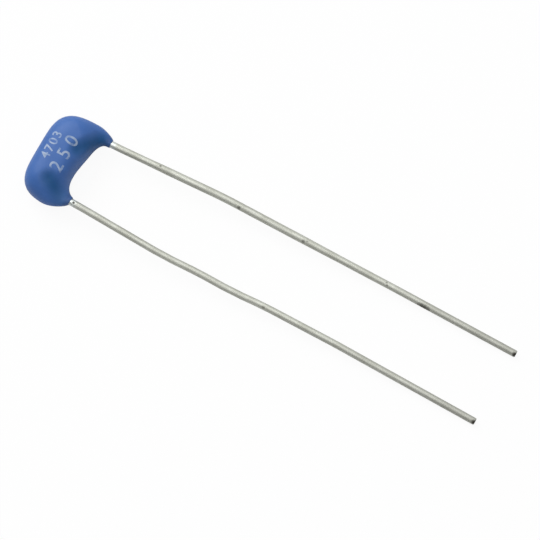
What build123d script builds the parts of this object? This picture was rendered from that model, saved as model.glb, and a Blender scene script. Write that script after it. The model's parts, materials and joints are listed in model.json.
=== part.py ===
from build123d import *
import math
import os

# A radial-leaded multilayer ceramic capacitor: a ceramic chip soldered between two long leads and
# dipped in epoxy. Millimetres, +Z up. It lies on its belly and on both lead tips: the leads run
# along +X, the pitch is along Y, and the origin is on the floor under the middle of the part.
#
# The chip and the leads share one middle plane, which slopes gently down to the tips. Inside that
# plane, x is measured from the seat (the line where the coating gives way to bare leads), away
# from the body; y is across the two leads; z is through the thickness.

# --- leads -------------------------------------------------------------------------------------
wire_d = 0.50
lead_top = 0.40  # the wire stops this far below the chip's far edge
tip_chamfer = 0.05
left_length = 31.76  # seat to tip, lead on the +Y side
right_length = 31.44  # seat to tip, lead on the -Y side
# Bends of each lead past the seat: distance from the seat, spread beyond the straight-down line,
# and radius. The last spread is the tip's.
left_bends = [(0.45, 0.00, 40), (8.90, 0.36, 50), (22.50, 0.28, 200)]
left_tip_spread = 0.15
right_bends = [
    (0.20, 0.00, 40),
    (7.20, 0.31, 24),
    (9.90, 0.23, 30),
    (12.60, 0.28, 15),
    (15.00, 0.15, 18),
    (20.50, 0.16, 150),
]
right_tip_spread = 0.40

# --- chip --------------------------------------------------------------------------------------
chip_long = 4.44  # lead to lead, over the end terminations
chip_high = 2.00  # from the lead side to the far side
chip_thick = 1.60  # through its layers
cap_wall = 0.05  # an end termination's metal
cap_band = 0.55  # how far a termination wraps along the chip
plate_count = 12
plate_pitch = 0.10
plate_thick = 0.02
plate_margin = 0.30  # bare ceramic beside each plate and beyond its free end

# --- solder ------------------------------------------------------------------------------------
solder_film = 0.03  # between wire and termination
solder_skin = 0.06  # over the wire
solder_foot = 0.62  # spread on the termination, each side of the wire
solder_hollow = 0.08  # how hollow the joint's flanks are
solder_inset = 0.45  # bare termination above and below the joint

# --- epoxy coating -----------------------------------------------------------------------------
coat_top = 0.56  # beyond the chip's far edge
coat_arch = 0.60  # between the chip and the arch over the leads
coat_face = 0.70  # over each broad face of the chip
coat_left = 0.50  # outside the left lead
coat_right = 0.79  # outside the right lead
coat_crown = 0.06  # each broad face is this much lower over the shoulders
arch_rise = 0.99  # from the seat up to the top of the arch
arch_lean = 0.17  # the arch is this share shallower on the left and deeper on the right
leg_skin = 0.05  # where the coating ends on a lead
left_exit = 0.14  # the coating runs this far past the seat on the left lead
right_exit = 0.30  # and stops this far short of it on the right lead
left_power = 3.9  # squareness of the outline's left shoulder
right_power = 4.5  # and of its right shoulder
arch_power = 2.5  # squareness of the arch
rim_power = 2.5  # fullness of a section through the coating
leg_narrowing = 66  # degrees from the middle where a leg starts to narrow
narrowing_power = 1.6  # above 1, a leg narrows slowly at first
leg_thinning = 38  # degrees from the middle where a leg starts to thin
section_count = 17
rim_points = 20

# --- places that follow from the sizes ---------------------------------------------------------
wire_r = wire_d / 2
lead_y = chip_long / 2 + solder_film + wire_r
chip_x = -(arch_rise + coat_arch + chip_high / 2)
far_edge = arch_rise + coat_arch + chip_high + coat_top
leg_r = wire_r + leg_skin
face_half = chip_thick / 2 + coat_face
first_page = math.degrees(math.atan(right_exit / lead_y)) - 90
last_page = math.degrees(math.atan(left_exit / lead_y)) + 90
ceramic_high = chip_high - 2 * cap_wall
ceramic_long = chip_long - 2 * cap_wall
ceramic_thick = chip_thick - 2 * cap_wall


# --- the coating's shape -----------------------------------------------------------------------
# Sections fan out from the seat's middle, like pages of a book: 0 degrees points at the far edge,
# and the first and last pages cross the two leads where the coating ends.
def rim_distance(angle, height, half_width, power):
    """From the fan's pivot to a superellipse's rim."""
    turn = math.radians(angle)
    rise = abs(math.cos(turn) / height) ** power
    run = abs(math.sin(turn) / half_width) ** power
    return (rise + run) ** (-1 / power)


def down_leg(angle, start):
    """0 over the chip, growing to 1 where the coating ends on a lead."""
    offset = 180 * (angle - first_page) / (last_page - first_page) - 90
    past = (abs(offset) - start) / (90 - start)
    return min(max(past, 0), 1)


def inner_reach(angle):
    rise = arch_rise * (1 - arch_lean * math.sin(math.radians(angle)))
    return rim_distance(angle, rise, lead_y - leg_r, arch_power)


def outer_reach(angle):
    side, power = (coat_left, left_power) if angle > 0 else (coat_right, right_power)
    half_width = lead_y + wire_r + side
    narrowing = (side - leg_skin) * down_leg(angle, leg_narrowing) ** narrowing_power
    return rim_distance(angle, far_edge, half_width, power) - narrowing


def half_thickness(angle):
    share = down_leg(angle, leg_thinning)
    eased = share * share * (3 - 2 * share)
    crown = coat_crown * math.sin(math.radians(angle)) ** 2
    return leg_r + (face_half - crown - leg_r) * (1 - eased)


def section_rim(angle):
    """Points around one section: distance from the pivot, and height off the middle plane."""
    centre = (outer_reach(angle) + inner_reach(angle)) / 2
    half_width = (outer_reach(angle) - inner_reach(angle)) / 2
    power = 2 + (rim_power - 2) * (1 - down_leg(angle, leg_thinning))
    rim = []
    for i in range(rim_points):
        turn = 2 * math.pi * i / rim_points
        out = math.copysign(abs(math.cos(turn)) ** (2 / power), math.cos(turn))
        up = math.copysign(abs(math.sin(turn)) ** (2 / power), math.sin(turn))
        rim.append((centre + half_width * out, half_thickness(angle) * up))
    return rim


def section_angles():
    step = (last_page - first_page) / (section_count - 1)
    return [first_page + step * i for i in range(section_count)]


# --- how it lies -------------------------------------------------------------------------------
def belly_depth(tilt):
    """How far the coating reaches below the seat's middle when the part is tilted."""
    depth = 0
    for angle in section_angles():
        for reach, height in section_rim(angle):
            x = -reach * math.cos(math.radians(angle))
            depth = max(depth, height * math.cos(tilt) + x * math.sin(tilt))
    return depth


def resting_tilt():
    """The slope at which belly and lead tips touch the floor together."""
    tilt = 0
    for _ in range(12):
        drop = belly_depth(tilt) - wire_r * math.cos(tilt)
        tilt = math.asin(drop / max(left_length, right_length))
    return tilt


tilt = resting_tilt()
slope = (math.cos(tilt), 0, -math.sin(tilt))
seat_x = -(max(left_length, right_length) - far_edge) / 2 * math.cos(tilt)
middle = Plane(origin=(seat_x, 0, belly_depth(tilt)), x_dir=slope, z_dir=(math.sin(tilt), 0, math.cos(tilt)))


def across(x):
    """Plane square to the leads, x away from the seat; its own x is y and its own y is z."""
    return Plane(origin=middle.from_local_coords((x, 0, 0)), x_dir=(0, 1, 0), z_dir=middle.x_dir)


def fan_page(angle):
    """Plane of one section: its own x is the reach from the pivot, its own y is the thickness."""
    turn = math.radians(angle)
    reach = middle.from_local_coords((-math.cos(turn), math.sin(turn), 0)) - middle.origin
    return Plane(origin=middle.origin, x_dir=reach, z_dir=reach.cross(middle.z_dir))


def save(piece, name):
    piece.part.label = name
    export_step(piece.part, f"parts/{name}.step")


os.makedirs("parts", exist_ok=True)


# --- electrodes and ceramic --------------------------------------------------------------------
plate_high = ceramic_high - 2 * plate_margin
plate_long = ceramic_long - plate_margin


def plate_spot(i):
    """Even plates start at the left termination, odd ones at the right."""
    side = 1 if i % 2 == 0 else -1
    z = (i - (plate_count - 1) / 2) * plate_pitch
    return (chip_x, side * (ceramic_long - plate_long) / 2, z)


plates = []
for i in range(plate_count):
    with BuildPart(middle) as plate:
        with Locations(plate_spot(i)):
            Box(plate_high, plate_long, plate_thick)
    save(plate, f"electrode_{i + 1:02d}")
    plates.append(plate)

with BuildPart(middle) as ceramic:
    with Locations((chip_x, 0, 0)):
        Box(ceramic_high, ceramic_long, ceramic_thick)
    with Locations(*[plate_spot(i) for i in range(plate_count)]):
        Box(plate_high, plate_long, plate_thick, mode=Mode.SUBTRACT)
save(ceramic, "ceramic_dielectric")


# --- end terminations --------------------------------------------------------------------------
def termination(side):
    """A thin metal cup over one end of the ceramic."""
    with BuildPart(middle) as cup:
        with Locations((chip_x, side * (chip_long - cap_band) / 2, 0)):
            Box(chip_high, cap_band, chip_thick)
        with Locations((chip_x, 0, 0)):
            Box(ceramic_high, ceramic_long, ceramic_thick, mode=Mode.SUBTRACT)
    return cup


left_cap = termination(1)
right_cap = termination(-1)
save(left_cap, "termination_left")
save(right_cap, "termination_right")


# --- leads -------------------------------------------------------------------------------------
wire_start = chip_x - chip_high / 2 + lead_top


def lead(side, bends, length, tip_spread):
    """Round wire, straight beside the chip, then slightly bent as the leads are."""
    route = [(wire_start, side * lead_y)]
    route += [(x, side * (lead_y + spread)) for x, spread, _ in bends]
    route += [(length, side * (lead_y + tip_spread))]
    with BuildPart() as wire:
        with BuildLine(middle) as path:
            FilletPolyline(*route, radius=[radius for _, _, radius in bends])
        with BuildSketch(across(wire_start)):
            with Locations((side * lead_y, 0)):
                Circle(wire_r)
        sweep(path=path.wires()[0])
        tip = wire.faces().sort_by(Axis.X)[-1]
        chamfer(tip.edges(), tip_chamfer)
    return wire


left_lead = lead(1, left_bends, left_length, left_tip_spread)
right_lead = lead(-1, right_bends, right_length, right_tip_spread)
save(left_lead, "lead_left")
save(right_lead, "lead_right")


# --- solder joints -----------------------------------------------------------------------------
solder_long = chip_high - 2 * solder_inset


def solder(side, wire):
    """Solder between a termination's end face and the wire, with hollow flanks."""
    skin_r = wire_r + solder_skin
    end_face = chip_long / 2
    flank_y = (end_face + lead_y - solder_hollow) / 2
    flank_z = (solder_foot + skin_r - solder_hollow) / 2
    with BuildPart() as joint:
        with BuildSketch(across(chip_x - solder_long / 2)):
            with BuildLine():
                Line((side * end_face, -solder_foot), (side * end_face, solder_foot))
                for z in (1, -1):
                    foot = (side * end_face, z * solder_foot)
                    shoulder = (side * lead_y, z * skin_r)
                    ThreePointArc(foot, (side * flank_y, z * flank_z), shoulder)
                crest = (side * (lead_y + skin_r), 0)
                ThreePointArc((side * lead_y, skin_r), crest, (side * lead_y, -skin_r))
            make_face()
        extrude(amount=solder_long)
        add(wire.part, mode=Mode.SUBTRACT)
    return joint


left_solder = solder(1, left_lead)
right_solder = solder(-1, right_lead)
save(left_solder, "solder_left")
save(right_solder, "solder_right")


# --- coating -----------------------------------------------------------------------------------
with BuildPart() as coating:
    for angle in section_angles():
        with BuildSketch(fan_page(angle)):
            with BuildLine():
                rim = section_rim(angle)
                Spline(*rim, rim[0], tangents=[(0, 1), (0, 1)])
            make_face()
    loft()
    for core in (ceramic, *plates, left_cap, right_cap, left_solder, right_solder, left_lead, right_lead):
        add(core.part, mode=Mode.SUBTRACT)
save(coating, "coating")
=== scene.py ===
import json
import math

import bmesh
import bpy
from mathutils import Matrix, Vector
from mathutils.bvhtree import BVHTree


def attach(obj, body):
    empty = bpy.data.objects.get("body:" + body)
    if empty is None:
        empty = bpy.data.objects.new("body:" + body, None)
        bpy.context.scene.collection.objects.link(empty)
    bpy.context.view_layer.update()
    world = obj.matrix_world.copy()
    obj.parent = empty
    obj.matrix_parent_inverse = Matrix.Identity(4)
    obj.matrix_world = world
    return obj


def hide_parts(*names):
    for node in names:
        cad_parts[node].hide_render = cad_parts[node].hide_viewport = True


# Looks for a radial-leaded ceramic capacitor: a chip dipped in blue epoxy, on two tinned leads.
# The chip and the leads share one middle plane, which slopes down to the lead tips. Inside it,
# x runs from the seat (where the coating ends) to the tips, y across the leads, z through the
# thickness. Sizes are in millimetres until they reach Blender, which works in metres.

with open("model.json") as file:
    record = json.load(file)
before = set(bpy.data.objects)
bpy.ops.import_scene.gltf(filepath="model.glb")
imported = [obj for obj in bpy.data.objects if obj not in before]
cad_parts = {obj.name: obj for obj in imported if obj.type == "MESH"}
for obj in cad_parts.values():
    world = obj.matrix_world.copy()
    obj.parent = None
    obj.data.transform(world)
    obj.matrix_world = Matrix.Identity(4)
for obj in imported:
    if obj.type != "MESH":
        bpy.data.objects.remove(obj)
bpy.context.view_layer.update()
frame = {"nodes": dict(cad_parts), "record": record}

MM = 0.001

# --- sizes, as in the frame ----------------------------------------------------------------------
WIRE_R = 0.25
LEAD_Y = 2.50
WIRE_START = -3.19
LEFT_LENGTH = 31.76
RIGHT_LENGTH = 31.44
LEG_SKIN = 0.05
LEG_R = WIRE_R + LEG_SKIN
MOUNT_INSET = 0.05  # the frame puts each end's mount this far short of the lead's tip
LEG_NARROWING = 66.0
NARROWING_POWER = 1.6
LEG_THINNING = 38.0
ARCH_POWER = 2.5
RIM_POWER = 2.5
LEFT_EXIT = 0.14
RIGHT_EXIT = 0.30

# Each lead's route: distance past the seat, and distance from the middle line.
LEFT_ROUTE = [(WIRE_START, 2.50), (0.45, 2.50), (8.90, 2.86), (22.50, 2.78), (LEFT_LENGTH, 2.65)]
RIGHT_ROUTE = [
    (WIRE_START, -2.50),
    (0.20, -2.50),
    (7.20, -2.81),
    (9.90, -2.73),
    (12.60, -2.78),
    (15.00, -2.65),
    (20.50, -2.66),
    (RIGHT_LENGTH, -2.90),
]

# --- the middle plane, from the frame ------------------------------------------------------------
mounts = {mount["name"]: mount for mount in frame["record"]["mounts"]}
SLOPE = -math.asin(mounts["lead_left_end"]["axis"][2])
ALONG = Vector((math.cos(SLOPE), 0, -math.sin(SLOPE)))
ACROSS = Vector((0, 1, 0))
THROUGH = Vector((math.sin(SLOPE), 0, math.cos(SLOPE)))
LEFT_TIP = ALONG * (LEFT_LENGTH - MOUNT_INSET) + ACROSS * LEFT_ROUTE[-1][1]
SEAT = Vector(mounts["lead_left_end"]["pos_m"]) - LEFT_TIP * MM
SEAT.y = 0.0


def place(x, y, z=0.0):
    """A point of the middle plane's own frame, in millimetres, as a place in metres."""
    return SEAT + (ALONG * x + ACROSS * y + THROUGH * z) * MM


def route_y(route, x):
    """Where a lead's middle line is, at a distance past the seat."""
    for (x0, y0), (x1, y1) in zip(route, route[1:]):
        if x <= x1:
            return y0 + (y1 - y0) * (x - x0) / (x1 - x0)
    return route[-1][1]


# --- formulas in node trees ----------------------------------------------------------------------
class Term:
    """A number inside a node tree, so that a formula reads as one."""

    def __init__(self, tree, socket):
        self.tree = tree
        self.socket = socket

    def math(self, operation, *others):
        node = self.tree.nodes.new("ShaderNodeMath")
        node.operation = operation
        for i, value in enumerate((self, *others)):
            if isinstance(value, Term):
                self.tree.links.new(value.socket, node.inputs[i])
            else:
                node.inputs[i].default_value = value
        return Term(self.tree, node.outputs[0])

    def __add__(self, other):
        return self.math("ADD", other)

    def __radd__(self, other):
        return self.math("ADD", other)

    def __sub__(self, other):
        return self.math("SUBTRACT", other)

    def __rsub__(self, other):
        return (self * -1) + other

    def __mul__(self, other):
        return self.math("MULTIPLY", other)

    def __rmul__(self, other):
        return self.math("MULTIPLY", other)

    def __truediv__(self, other):
        return self.math("DIVIDE", other)

    def __rtruediv__(self, other):
        return (self ** -1.0) * other

    def __pow__(self, other):
        return self.math("POWER", other)

    def cos(self):
        return self.math("COSINE")

    def sin(self):
        return self.math("SINE")

    def size(self):
        return self.math("ABSOLUTE")

    def sign(self):
        return self.math("SIGN")

    def least(self, other):
        return self.math("MINIMUM", other)

    def most(self, other):
        return self.math("MAXIMUM", other)

    def above(self, other):
        return self.math("GREATER_THAN", other)

    def between(self, low, high):
        """0 at the low value, growing smoothly to 1 at the high one."""
        return ((self - low) / (high - low)).eased()

    def eased(self):
        held = self.most(0.0).least(1.0)
        return held * held * (3.0 - 2.0 * held)


# The chip's ends show as soft hollows in the coating, dented into its shape and darkened in its colour
# with painted shade: start, end and half width of each.
HOLLOWS = [((-1.50, 0.70), (-0.45, 2.35), 0.80), ((-2.20, -2.05), (-1.00, -2.65), 0.90)]


def hollow_share(x, y):
    """1 along the middle of each hollow, 0 outside them."""
    total = None
    for (x0, y0), (x1, y1), width in HOLLOWS:
        dx, dy = x1 - x0, y1 - y0
        along = ((x - x0) * dx + (y - y0) * dy) / (dx * dx + dy * dy)
        along = along.most(0.0).least(1.0)
        side_x = x - x0 - along * dx
        side_y = y - y0 - along * dy
        gap = (side_x * side_x + side_y * side_y) ** 0.5
        share = (1.0 - gap / width).eased()
        total = share if total is None else total.most(share)
    return total


def new_tree(name, sizes):
    """An empty geometry tree with one geometry input, named sizes in and geometry out."""
    tree = bpy.data.node_groups.new(name, "GeometryNodeTree")
    tree.interface.new_socket("Geometry", in_out="INPUT", socket_type="NodeSocketGeometry")
    for size, value in sizes.items():
        socket = tree.interface.new_socket(size, in_out="INPUT", socket_type="NodeSocketFloat")
        socket.default_value = value
    tree.interface.new_socket("Geometry", in_out="OUTPUT", socket_type="NodeSocketGeometry")
    entry = tree.nodes.new("NodeGroupInput")
    leave = tree.nodes.new("NodeGroupOutput")
    terms = {size: Term(tree, entry.outputs[size]) for size in sizes}
    return tree, entry, leave, terms


def add(tree, kind, **values):
    """A node with some of its settings."""
    node = tree.nodes.new(kind)
    for key, value in values.items():
        setattr(node, key, value)
    return node


def set_inputs(node, **values):
    """Plain values for a node's inputs; an underscore stands for a space in a name."""
    for key, value in values.items():
        node.inputs[key.replace("_", " ")].default_value = value


def run_tree(name, data, tree, sizes, material):
    """Runs a tree once on the data and keeps the result as a plain mesh object."""
    maker = bpy.data.objects.new(name + "_maker", data)
    bpy.context.scene.collection.objects.link(maker)
    modifier = maker.modifiers.new("make", "NODES")
    modifier.node_group = tree
    for item in tree.interface.items_tree:
        if item.item_type == "SOCKET" and item.in_out == "INPUT" and item.name in sizes:
            modifier[item.identifier] = sizes[item.name]
    graph = bpy.context.evaluated_depsgraph_get()
    mesh = bpy.data.meshes.new_from_object(maker.evaluated_get(graph))
    bpy.data.objects.remove(maker)
    mesh.name = name
    mesh.materials.clear()
    mesh.materials.append(material)
    piece = bpy.data.objects.new(name, mesh)
    bpy.context.scene.collection.objects.link(piece)
    return piece


def finish_tree(tree, leave, geometry, material):
    """Every tree ends in plain geometry with its material."""
    real = add(tree, "GeometryNodeRealizeInstances")
    coat = add(tree, "GeometryNodeSetMaterial")
    coat.inputs["Material"].default_value = material
    tree.links.new(geometry, real.inputs[0])
    tree.links.new(real.outputs[0], coat.inputs["Geometry"])
    tree.links.new(coat.outputs[0], leave.inputs[0])


# --- materials -----------------------------------------------------------------------------------
def new_material(name):
    """A node material with its tree and its shader."""
    material = bpy.data.materials.new(name)
    material.use_nodes = True
    tree = material.node_tree
    shader = tree.nodes["Principled BSDF"]
    return material, tree, shader


def grain(tree, scale, detail=3.0, rough=0.5, stretch=(1, 1, 1), turn=(0, 0, 0)):
    """Noise in the object's own place, in features per millimetre."""
    where = add(tree, "ShaderNodeTexCoord")
    mapping = add(tree, "ShaderNodeMapping")
    mapping.inputs["Scale"].default_value = [scale / MM * s for s in stretch]
    mapping.inputs["Rotation"].default_value = turn
    noise = add(tree, "ShaderNodeTexNoise")
    set_inputs(noise, Scale=1.0, Detail=detail, Roughness=rough)
    tree.links.new(where.outputs["Object"], mapping.inputs["Vector"])
    tree.links.new(mapping.outputs["Vector"], noise.inputs["Vector"])
    return noise.outputs["Fac"]


def ramp(tree, factor, stops):
    """Colour stops along a factor."""
    node = add(tree, "ShaderNodeValToRGB")
    elements = node.color_ramp.elements
    while len(elements) < len(stops):
        elements.new(0.5)
    for element, (at, colour) in zip(elements, stops):
        element.position = at
        element.color = (*colour, 1)
    tree.links.new(factor, node.inputs["Fac"])
    return node.outputs["Color"]


def levels(tree, factor, low, high, to_low, to_high):
    """A factor carried from one range to another and held inside it."""
    node = add(tree, "ShaderNodeMapRange")
    set_inputs(node, From_Min=low, From_Max=high, To_Min=to_low, To_Max=to_high)
    tree.links.new(factor, node.inputs["Value"])
    return node.outputs["Result"]


def mix(tree, factor, a, b, blend="MIX"):
    """Mixes two colours; each is a socket or a plain colour."""
    node = add(tree, "ShaderNodeMix", data_type="RGBA", blend_type=blend)
    colours = [socket for socket in node.inputs if socket.type == "RGBA"]
    if isinstance(factor, float):
        node.inputs["Factor"].default_value = factor
    else:
        tree.links.new(factor, node.inputs["Factor"])
    for socket, value in zip(colours, (a, b)):
        if isinstance(value, tuple):
            socket.default_value = (*value, 1)
        else:
            tree.links.new(value, socket)
    return [socket for socket in node.outputs if socket.type == "RGBA"][0]


def bump(tree, shader, layers):
    """Height layers, each (socket, depth in millimetres)."""
    last = None
    for height, depth in layers:
        node = add(tree, "ShaderNodeBump")
        set_inputs(node, Strength=1.0, Distance=depth * MM)
        tree.links.new(height, node.inputs["Height"])
        if last:
            tree.links.new(last, node.inputs["Normal"])
        last = node.outputs["Normal"]
    tree.links.new(last, shader.inputs["Normal"])


def own_place(tree):
    """How far along and across the shaded point lies in the middle plane, in millimetres."""
    where = add(tree, "ShaderNodeTexCoord")
    shift = add(tree, "ShaderNodeVectorMath", operation="SUBTRACT")
    shift.inputs[1].default_value = SEAT
    tree.links.new(where.outputs["Object"], shift.inputs[0])
    terms = []
    for direction in (ALONG, ACROSS):
        dot = add(tree, "ShaderNodeVectorMath", operation="DOT_PRODUCT")
        dot.inputs[1].default_value = direction / MM
        tree.links.new(shift.outputs["Vector"], dot.inputs[0])
        terms.append(Term(tree, dot.outputs["Value"]))
    return terms


def near(tree, spot, reach, peak):
    """The peak at a place in metres, falling to 0 at the reach in millimetres."""
    where = add(tree, "ShaderNodeTexCoord")
    gap = add(tree, "ShaderNodeVectorMath", operation="DISTANCE")
    gap.inputs[1].default_value = spot
    tree.links.new(where.outputs["Object"], gap.inputs[0])
    return levels(tree, gap.outputs["Value"], 0.0, reach * MM, peak, 0.0)


def blue_epoxy():
    """Dipped powder-blue epoxy: satin and faintly mottled, with painted shade in the hollows past the
    chip's ends and near the legs, and painted light along the rim on the arch side.
    """
    material, tree, shader = new_material("blue_epoxy")
    x, y = own_place(tree)
    mottle = grain(tree, 0.55, detail=4.0)
    speck = grain(tree, 9.0, detail=2.0)
    base = ramp(tree, mottle, [(0.30, (0.038, 0.118, 0.365)), (0.70, (0.050, 0.138, 0.400))])
    base = mix(tree, levels(tree, speck, 0.55, 0.80, 0.0, 0.22), base, (0.092, 0.175, 0.43))
    # painted shade: the hollows are darkened in the colour as well as dented into the shape
    base = mix(tree, (hollow_share(x, y) * 0.9).socket, base, (0.002, 0.070, 0.215))
    # painted light: a lighter blue along the rim on the arch side, standing in for the reflection off
    # its steep edge
    painted_rim_light = (x - -1.75).between(0.0, 1.0) * (y * -1.0).between(-1.6, -0.4)
    base = mix(tree, (painted_rim_light * 0.35).socket, base, (0.085, 0.180, 0.430))
    # painted shade: darker blue where the coating falls towards each leg
    left_leg_shade = x.between(-0.55, 0.0) * y.between(1.0, 1.4)
    right_leg_shade = x.between(-0.9, -0.4) * (y * -1.0).between(1.0, 1.4)
    painted_leg_shade = left_leg_shade.most(right_leg_shade)
    base = mix(tree, (painted_leg_shade * 0.6).socket, base, (0.035, 0.075, 0.20))
    tree.links.new(base, shader.inputs["Base Color"])
    shader.inputs["Roughness"].default_value = 0.48
    shader.inputs["Specular IOR Level"].default_value = 0.33
    bump(tree, shader, [(grain(tree, 1.6, detail=2.0), 0.016), (grain(tree, 12.0, detail=2.0), 0.002)])
    return material


# Small bruises on the leads: place past the seat, side of the lead (1 is +Y), radius and darkness.
LEFT_MARKS = [
    (3.95, 0.2, 0.11, 0.55),
    (10.15, -0.7, 0.16, 0.65),
    (15.20, -0.6, 0.16, 0.55),
    (15.45, -0.2, 0.10, 0.40),
    (21.65, 0.2, 0.10, 0.45),
    (21.75, -0.5, 0.10, 0.45),
    (24.30, -0.92, 0.24, 0.50),
    (24.50, -0.90, 0.27, 0.78),
    (24.72, -0.88, 0.27, 0.78),
    (24.95, -0.90, 0.25, 0.60),
    (31.70, -0.55, 0.24, 1.00),
]
RIGHT_MARKS = [
    (-0.04, -0.10, 0.13, 1.00),
    (15.00, -0.6, 0.14, 0.45),
    (31.38, -0.55, 0.24, 1.00),
]


def lead_marks(tree, route, marks):
    """The darkness of a lead's bruises."""
    total = None
    for x, side, reach, dark in marks:
        rise = math.sqrt(1 - side * side)
        spot = place(x, route_y(route, x) + side * WIRE_R, rise * WIRE_R)
        share = Term(tree, near(tree, spot, reach, 1.6 * dark)).least(dark)
        total = share if total is None else total.most(share)
    return total


def tinned_wire():
    """Dull drawn tin plate: lengthwise draw lines, soft grey clouds and bruises, darker towards the
    tips, and a glossy collar at the coating whose glint is a painted highlight.
    """
    material, tree, shader = new_material("tinned_wire")
    x, y = own_place(tree)
    lines = grain(tree, 4.2, detail=2.0, stretch=(0.03, 1, 1), turn=(0, -SLOPE, 0))
    clouds = grain(tree, 0.8, detail=3.0)
    streaks = grain(tree, 2.6, detail=2.0, stretch=(0.12, 1, 1), turn=(0, -SLOPE, 0))
    base = ramp(tree, clouds, [(0.32, (0.450, 0.455, 0.402)), (0.68, (0.535, 0.543, 0.492))])
    base = mix(tree, levels(tree, lines, 0.42, 0.66, 0.0, 0.42), base, (0.345, 0.345, 0.300))
    base = mix(tree, levels(tree, streaks, 0.58, 0.74, 0.0, 0.30), base, (0.58, 0.585, 0.56))
    # the wire's colour is darker towards the tips
    base = mix(tree, (x.between(17.0, 31.0) * 0.5).socket, base, (0.36, 0.36, 0.325))
    worn = lead_marks(tree, LEFT_ROUTE, LEFT_MARKS).most(lead_marks(tree, RIGHT_ROUTE, RIGHT_MARKS))
    # a glossy pale collar where each wire leaves the coating: partly a clear meniscus, partly a painted
    # highlight of its glint in the colour
    left_collar_and_glint = x.between(0.62, 0.34) * y.above(0.0)
    right_collar_and_glint = x.between(0.22, -0.08) * (y * -1.0).above(0.0)
    collar_and_glint = left_collar_and_glint.most(right_collar_and_glint)
    base = mix(tree, (collar_and_glint * 0.8).socket, base, (0.62, 0.66, 0.64))
    base = mix(tree, worn.socket, base, (0.075, 0.07, 0.06))
    tree.links.new(base, shader.inputs["Base Color"])
    shader.inputs["Metallic"].default_value = 1.0
    rough = Term(tree, levels(tree, clouds, 0.3, 0.7, 0.66, 0.58)) - collar_and_glint * 0.2 + worn * 0.2
    tree.links.new(rough.socket, shader.inputs["Roughness"])
    dents = 1.0 - worn
    bump(tree, shader, [(lines, 0.004), (streaks, 0.002), (dents.socket, 0.02)])
    return material


def marking_ink():
    """Thin pale ink, worn nearly through to the blue in places."""
    material, tree, shader = new_material("marking_ink")
    wear = grain(tree, 2.6, detail=3.0, rough=0.6)
    worn, thin, whole = (0.10, 0.19, 0.42), (0.23, 0.32, 0.50), (0.33, 0.41, 0.55)
    base = ramp(tree, wear, [(0.38, worn), (0.50, thin), (0.66, whole)])
    tree.links.new(base, shader.inputs["Base Color"])
    shader.inputs["Roughness"].default_value = 0.55
    bump(tree, shader, [(grain(tree, 12.0), 0.002)])
    return material


def metal(name, dark, light, rough, scale, depth):
    """A plain cast or plated metal with cloudy colour and a fine grain."""
    material, tree, shader = new_material(name)
    clouds = grain(tree, scale, detail=4.0)
    tree.links.new(ramp(tree, clouds, [(0.3, dark), (0.7, light)]), shader.inputs["Base Color"])
    shader.inputs["Metallic"].default_value = 1.0
    tree.links.new(levels(tree, clouds, 0.3, 0.7, rough + 0.1, rough), shader.inputs["Roughness"])
    bump(tree, shader, [(grain(tree, scale * 6, detail=3.0), depth)])
    return material


def fired_ceramic():
    """Fired dielectric: brownish, fine-grained and matte."""
    material, tree, shader = new_material("fired_ceramic")
    fine = grain(tree, 18.0, detail=4.0, rough=0.6)
    clouds = grain(tree, 1.5)
    base = ramp(tree, clouds, [(0.3, (0.30, 0.22, 0.16)), (0.7, (0.40, 0.31, 0.23))])
    base = mix(tree, levels(tree, fine, 0.5, 0.75, 0.0, 0.4), base, (0.22, 0.16, 0.12))
    tree.links.new(base, shader.inputs["Base Color"])
    shader.inputs["Roughness"].default_value = 0.7
    bump(tree, shader, [(fine, 0.004)])
    return material


BLUE = blue_epoxy()
TIN = tinned_wire()
INK = marking_ink()
CERAMIC = fired_ceramic()
NICKEL = metal("nickel_plate", (0.36, 0.33, 0.29), (0.50, 0.47, 0.42), 0.35, 4.0, 0.001)
TERMINATION = metal("plated_termination", (0.50, 0.50, 0.48), (0.66, 0.66, 0.63), 0.35, 3.0, 0.003)
SOLDER = metal("solder", (0.42, 0.42, 0.42), (0.60, 0.60, 0.59), 0.2, 2.0, 0.004)


# --- coating -------------------------------------------------------------------------------------
COATING_SIZES = {
    "Arch rise": 0.99,
    "Arch lean": 0.17,
    "Far edge": 4.15,
    "Lead offset": LEAD_Y,
    "Wire radius": WIRE_R,
    "Leg radius": LEG_R,
    "Left side": 0.50,
    "Right side": 0.79,
    "Left power": 3.9,
    "Right power": 4.5,
    "Face half": 1.50,
    "Crown": 0.06,
    "Hollow depth": 0.20,
    "First page": math.atan(RIGHT_EXIT / LEAD_Y) - math.pi / 2,
    "Last page": math.atan(LEFT_EXIT / LEAD_Y) + math.pi / 2,
}
PAGES = 241
RIM = 160
ROUNDED_PAGES = 6.0
END_SHARE = 0.80  # how wide the coating still is where it closes on the wire


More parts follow.
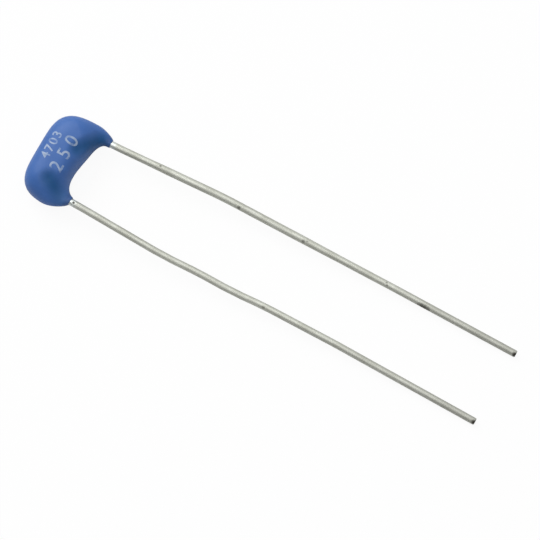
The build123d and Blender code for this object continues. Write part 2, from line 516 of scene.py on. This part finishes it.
def coating_tree():
    """A skin of sections that fan out from the seat's middle, like pages, closed at both leads."""
    tree, _, leave, size = new_tree("dipped_coating", COATING_SIZES)
    grid = add(tree, "GeometryNodeMeshGrid")
    set_inputs(grid, Size_X=1.0, Size_Y=1.0, Vertices_X=PAGES, Vertices_Y=RIM + 1)
    position = add(tree, "GeometryNodeInputPosition")
    split = add(tree, "ShaderNodeSeparateXYZ")
    tree.links.new(position.outputs[0], split.inputs[0])
    page = (Term(tree, split.outputs["X"]) + 0.5) * (PAGES - 1.0)
    turn = (Term(tree, split.outputs["Y"]) + 0.5) * (2 * math.pi)

    # the coating thins to the wire over its last pages, and the very last shrinks to a point
    to_end = page.least((PAGES - 1.0) - page)
    rounding = 1.0 - (1.0 - to_end / ROUNDED_PAGES).most(0.0) ** 2.0
    shrink = (END_SHARE + (1.0 - END_SHARE) * rounding ** 0.5) * to_end.least(1.0)
    share = ((page - 1.0) / (PAGES - 3.0)).most(0.0).least(1.0)
    angle = size["First page"] + (size["Last page"] - size["First page"]) * share
    off_middle = ((share - 0.5) * math.pi).size()

    def down_leg(start):
        start = math.radians(start)
        return ((off_middle - start) / (math.pi / 2 - start)).most(0.0).least(1.0)

    def rim_distance(height, half_width, power):
        rise = (angle.cos().size() / height) ** power
        run = (angle.sin().size() / half_width) ** power
        return (rise + run) ** (-1.0 / power)

    left = angle.above(0.0)
    side = size["Left side"] * left + size["Right side"] * (1.0 - left)
    shoulder = size["Left power"] * left + size["Right power"] * (1.0 - left)
    skin = size["Leg radius"] - size["Wire radius"]
    arch = size["Arch rise"] * (1.0 - size["Arch lean"] * angle.sin())
    inner = rim_distance(arch, size["Lead offset"] - size["Leg radius"], ARCH_POWER)
    outline = rim_distance(size["Far edge"], size["Lead offset"] + size["Wire radius"] + side, shoulder)
    outer = outline - (side - skin) * down_leg(LEG_NARROWING) ** NARROWING_POWER
    thin = down_leg(LEG_THINNING)
    crown = size["Crown"] * angle.sin() ** 2.0
    full = size["Face half"] - crown - size["Leg radius"]
    thickness = size["Leg radius"] + full * (1.0 - thin.eased())
    power = (1.0 - thin) * (RIM_POWER - 2.0) + 2.0

    def rounded(wave):
        return wave.sign() * wave.size() ** (2.0 / power)

    reach = (outer + inner) / 2.0 + (outer - inner) / 2.0 * rounded(turn.cos()) * shrink
    x = reach * angle.cos() * -1.0
    y = reach * angle.sin()
    hollow = size["Hollow depth"] * hollow_share(x, y) * (1.0 - thin.eased())
    rise = (thickness - hollow) * rounded(turn.sin()) * shrink
    join = add(tree, "ShaderNodeCombineXYZ")
    for socket, value in zip(join.inputs, (x, y, rise)):
        tree.links.new(value.socket, socket)
    shape = add(tree, "GeometryNodeSetPosition")
    tree.links.new(grid.outputs["Mesh"], shape.inputs["Geometry"])
    tree.links.new(join.outputs[0], shape.inputs["Position"])
    merge = add(tree, "GeometryNodeMergeByDistance")
    set_inputs(merge, Distance=1e-4)
    tree.links.new(shape.outputs[0], merge.inputs["Geometry"])
    smooth = add(tree, "GeometryNodeSetShadeSmooth")
    tree.links.new(merge.outputs[0], smooth.inputs["Geometry"])
    finish_tree(tree, leave, smooth.outputs[0], BLUE)
    return tree


def settle(piece):
    """Takes a piece from the middle plane's millimetres to its place in the frame."""
    for vertex in piece.data.vertices:
        vertex.co = place(*vertex.co)
    return piece


def outwards(piece):
    """Turns the faces outwards if their signed volume says they point in."""
    mesh = piece.data
    volume = 0.0
    mesh.calc_loop_triangles()
    for triangle in mesh.loop_triangles:
        a, b, c = (mesh.vertices[i].co for i in triangle.vertices)
        volume += a.dot(b.cross(c))
    if volume < 0:
        mesh.flip_normals()


coating = run_tree("coating_skin", bpy.data.meshes.new("seed"), coating_tree(), COATING_SIZES, BLUE)
outwards(settle(coating))


# --- leads ---------------------------------------------------------------------------------------
ROUTE_POINTS = 700
WIRE_SIDES = 40
TIP_ROUNDING = 0.06
TIP_SHARE = 0.82  # the wire's width at its rounded tip
LEAD_SIZES = {"Wire radius": WIRE_R, "Bend radius": 20.0, "Swell": 0.0, "Tip": RIGHT_LENGTH}
LEFT_SWELL = 0.10


def lead_tree():
    """Round wire along a route of straight runs with rounded bends, closed at both ends."""
    tree, entry, leave, size = new_tree("round_wire", LEAD_SIZES)
    fillet = add(tree, "GeometryNodeFilletCurve", mode="POLY")
    resample = add(tree, "GeometryNodeResampleCurve")
    set_inputs(resample, Count=ROUTE_POINTS)
    profile = add(tree, "GeometryNodeCurvePrimitiveCircle")
    set_inputs(profile, Resolution=WIRE_SIDES)
    sweep = add(tree, "GeometryNodeCurveToMesh")
    set_inputs(sweep, Fill_Caps=True)
    tree.links.new(entry.outputs["Geometry"], fillet.inputs["Curve"])
    tree.links.new(size["Bend radius"].socket, fillet.inputs["Radius"])
    tree.links.new(fillet.outputs[0], resample.inputs["Curve"])

    # the wire swells a little where it was pulled flat, and its sheared tip is rounded over
    position = add(tree, "GeometryNodeInputPosition")
    split = add(tree, "ShaderNodeSeparateXYZ")
    tree.links.new(position.outputs[0], split.inputs[0])
    x = Term(tree, split.outputs["X"])
    swell = x.between(2.5, 5.0) * (1.0 - x.between(14.5, 18.5))
    to_tip = ((size["Tip"] - x) / TIP_ROUNDING).most(0.0).least(1.0)
    scale = (1.0 + swell * size["Swell"]) * (TIP_SHARE + (1.0 - TIP_SHARE) * to_tip)
    radius = add(tree, "GeometryNodeSetCurveRadius")
    tree.links.new(resample.outputs[0], radius.inputs["Curve"])
    tree.links.new(scale.socket, radius.inputs["Radius"])
    tree.links.new(scale.socket, sweep.inputs["Scale"])
    tree.links.new(size["Wire radius"].socket, profile.inputs["Radius"])
    tree.links.new(radius.outputs[0], sweep.inputs["Curve"])
    tree.links.new(profile.outputs[0], sweep.inputs["Profile Curve"])
    smooth = add(tree, "GeometryNodeSetShadeSmooth")
    tree.links.new(sweep.outputs[0], smooth.inputs["Geometry"])
    finish_tree(tree, leave, smooth.outputs[0], TIN)
    return tree


def route_curve(route):
    """A route as a curve of straight runs."""
    curve = bpy.data.curves.new("route", "CURVE")
    curve.dimensions = "3D"
    spline = curve.splines.new("POLY")
    spline.points.add(len(route) - 1)
    for point, (x, y) in zip(spline.points, route):
        point.co = (x, y, 0, 1)
    return curve


wire = lead_tree()
left_sizes = {**LEAD_SIZES, "Swell": LEFT_SWELL, "Tip": LEFT_LENGTH}
left_lead = run_tree("lead_left_wire", route_curve(LEFT_ROUTE), wire, left_sizes, TIN)
right_lead = run_tree("lead_right_wire", route_curve(RIGHT_ROUTE), wire, LEAD_SIZES, TIN)
for lead in (left_lead, right_lead):
    outwards(settle(lead))


# --- marking -------------------------------------------------------------------------------------
INK_LIFT = 0.006
STROKE_GROWTH = 0.010
DIGIT_SHARE = 0.7  # a digit's height, as a share of its font size
CLEAR_ABOVE = 5.0  # a height over the middle plane from which to look down on the coating


def stamp(name, text, height, spacing, x, y):
    """A short number printed on the upper face, its foot towards the leads."""
    curve = bpy.data.curves.new(name, "FONT")
    curve.body = text
    curve.size = height / DIGIT_SHARE
    curve.align_x = "CENTER"
    curve.align_y = "CENTER"
    curve.space_character = spacing
    curve.offset = STROKE_GROWTH
    writer = bpy.data.objects.new(name, curve)
    bpy.context.scene.collection.objects.link(writer)
    graph = bpy.context.evaluated_depsgraph_get()
    mesh = bpy.data.meshes.new_from_object(writer.evaluated_get(graph))
    bpy.data.objects.remove(writer)
    cells = bmesh.new()
    cells.from_mesh(mesh)
    bmesh.ops.triangulate(cells, faces=cells.faces)
    bmesh.ops.subdivide_edges(cells, edges=cells.edges, cuts=4, use_grid_fill=True)
    cells.to_mesh(mesh)
    cells.free()
    skin = BVHTree.FromObject(coating, bpy.context.evaluated_depsgraph_get())
    for vertex in mesh.vertices:
        above = place(x - vertex.co.y, y + vertex.co.x, CLEAR_ABOVE)
        hit, normal, _, _ = skin.ray_cast(above, -THROUGH)
        vertex.co = hit + normal * INK_LIFT * MM
    mesh.materials.clear()
    mesh.materials.append(INK)
    piece = bpy.data.objects.new(name, mesh)
    bpy.context.scene.collection.objects.link(piece)
    return piece


marks = [
    stamp("value_number", "4703", 0.66, 1.20, -3.20, 0.12),
    stamp("voltage_number", "250", 0.92, 1.60, -2.10, -0.03),
]

# --- riding on the frame -------------------------------------------------------------------------
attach(coating, "root")
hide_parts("coating")
for lead, node in ((left_lead, "lead_left"), (right_lead, "lead_right")):
    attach(lead, "root")
    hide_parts(node)
for mark in marks:
    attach(mark, "root")

INNER = {"ceramic": CERAMIC, "electrode": NICKEL, "termination": TERMINATION, "solder": SOLDER}
for name, node in frame["nodes"].items():
    for family, finish in INNER.items():
        if name.startswith(family):
            for slot in node.material_slots:
                slot.material = finish


# --- floor, light and camera ---------------------------------------------------------------------
FLOOR_HALF = 0.6
FLOOR_GLOW = 0.93  # the share of the floor that the camera sees as plain white


def studio_floor():
    """White card that shows soft shadows but stays near white to the camera."""
    material = bpy.data.materials.new("studio_floor")
    material.use_nodes = True
    tree = material.node_tree
    shader = tree.nodes["Principled BSDF"]
    shader.inputs["Base Color"].default_value = (0.90, 0.90, 0.90, 1)
    shader.inputs["Roughness"].default_value = 0.9
    shader.inputs["Specular IOR Level"].default_value = 0.1
    glow = add(tree, "ShaderNodeEmission")
    glow.inputs["Strength"].default_value = 1.0
    path = add(tree, "ShaderNodeLightPath")
    blend = add(tree, "ShaderNodeMixShader")
    share = Term(tree, path.outputs["Is Camera Ray"]) * FLOOR_GLOW
    tree.links.new(share.socket, blend.inputs[0])
    tree.links.new(shader.outputs[0], blend.inputs[1])
    tree.links.new(glow.outputs[0], blend.inputs[2])
    tree.links.new(blend.outputs[0], tree.nodes["Material Output"].inputs["Surface"])
    return material


floor_mesh = bpy.data.meshes.new("floor")
corners = [(x * FLOOR_HALF, y * FLOOR_HALF, 0) for x, y in ((-1, -1), (1, -1), (1, 1), (-1, 1))]
floor_mesh.from_pydata(corners, [], [(0, 1, 2, 3)])
floor_mesh.materials.append(studio_floor())
floor = bpy.data.objects.new("floor", floor_mesh)
bpy.context.scene.collection.objects.link(floor)


def softbox(name, spot, size, power):
    """A square soft lamp that faces the part."""
    data = bpy.data.lights.new(name, "AREA")
    data.shape = "SQUARE"
    data.size = size
    data.energy = power
    lamp = bpy.data.objects.new(name, data)
    lamp.location = spot
    lamp.rotation_euler = (-Vector(spot)).to_track_quat("-Z", "Y").to_euler()
    bpy.context.scene.collection.objects.link(lamp)


softbox("key", (-0.27, 0.14, 0.30), 0.30, 1.20)
softbox("overhead", (0.05, -0.02, 0.48), 0.36, 0.70)

# the world is white to the camera; to the part it is dimmer, and brighter from one side
world = bpy.data.worlds.new("studio")
world.use_nodes = True
world_tree = world.node_tree
background = world_tree.nodes["Background"]
background.inputs["Color"].default_value = (0.98, 0.99, 1.0, 1)
rays = add(world_tree, "ShaderNodeLightPath")
towards = add(world_tree, "ShaderNodeTexCoord")
facing = add(world_tree, "ShaderNodeVectorMath", operation="DOT_PRODUCT")
facing.inputs[1].default_value = (-0.45, 0.80, 0.40)
world_tree.links.new(towards.outputs["Generated"], facing.inputs[0])
bright = Term(world_tree, facing.outputs["Value"]).between(-0.8, 0.7)
glossy = Term(world_tree, rays.outputs["Is Glossy Ray"])
seen = Term(world_tree, rays.outputs["Is Camera Ray"])
lit = 0.18 + bright * 0.24 + glossy * (0.14 + bright * 0.34)
strength = lit * (1.0 - seen) + seen
world_tree.links.new(strength.socket, background.inputs["Strength"])
bpy.context.scene.world = world

AZIMUTH = math.radians(28.18)
ELEVATION = math.radians(74.0)
DISTANCE = 0.180
AIM = Vector((14.19 * MM, -0.31 * MM, 0)) + SEAT
BACK = Vector((
    math.sin(AZIMUTH) * math.cos(ELEVATION),
    -math.cos(AZIMUTH) * math.cos(ELEVATION),
    math.sin(ELEVATION),
))
camera_data = bpy.data.cameras.new("camera")
camera_data.lens = 174.6
camera_data.sensor_width = 36.0
camera_data.clip_start = 0.01
camera_data.clip_end = 5.0
camera = bpy.data.objects.new("camera", camera_data)
camera.location = AIM + BACK * DISTANCE
camera.rotation_euler = BACK.to_track_quat("Z", "Y").to_euler()
bpy.context.scene.collection.objects.link(camera)
bpy.context.scene.camera = camera

bpy.context.scene.view_settings.view_transform = "Standard"
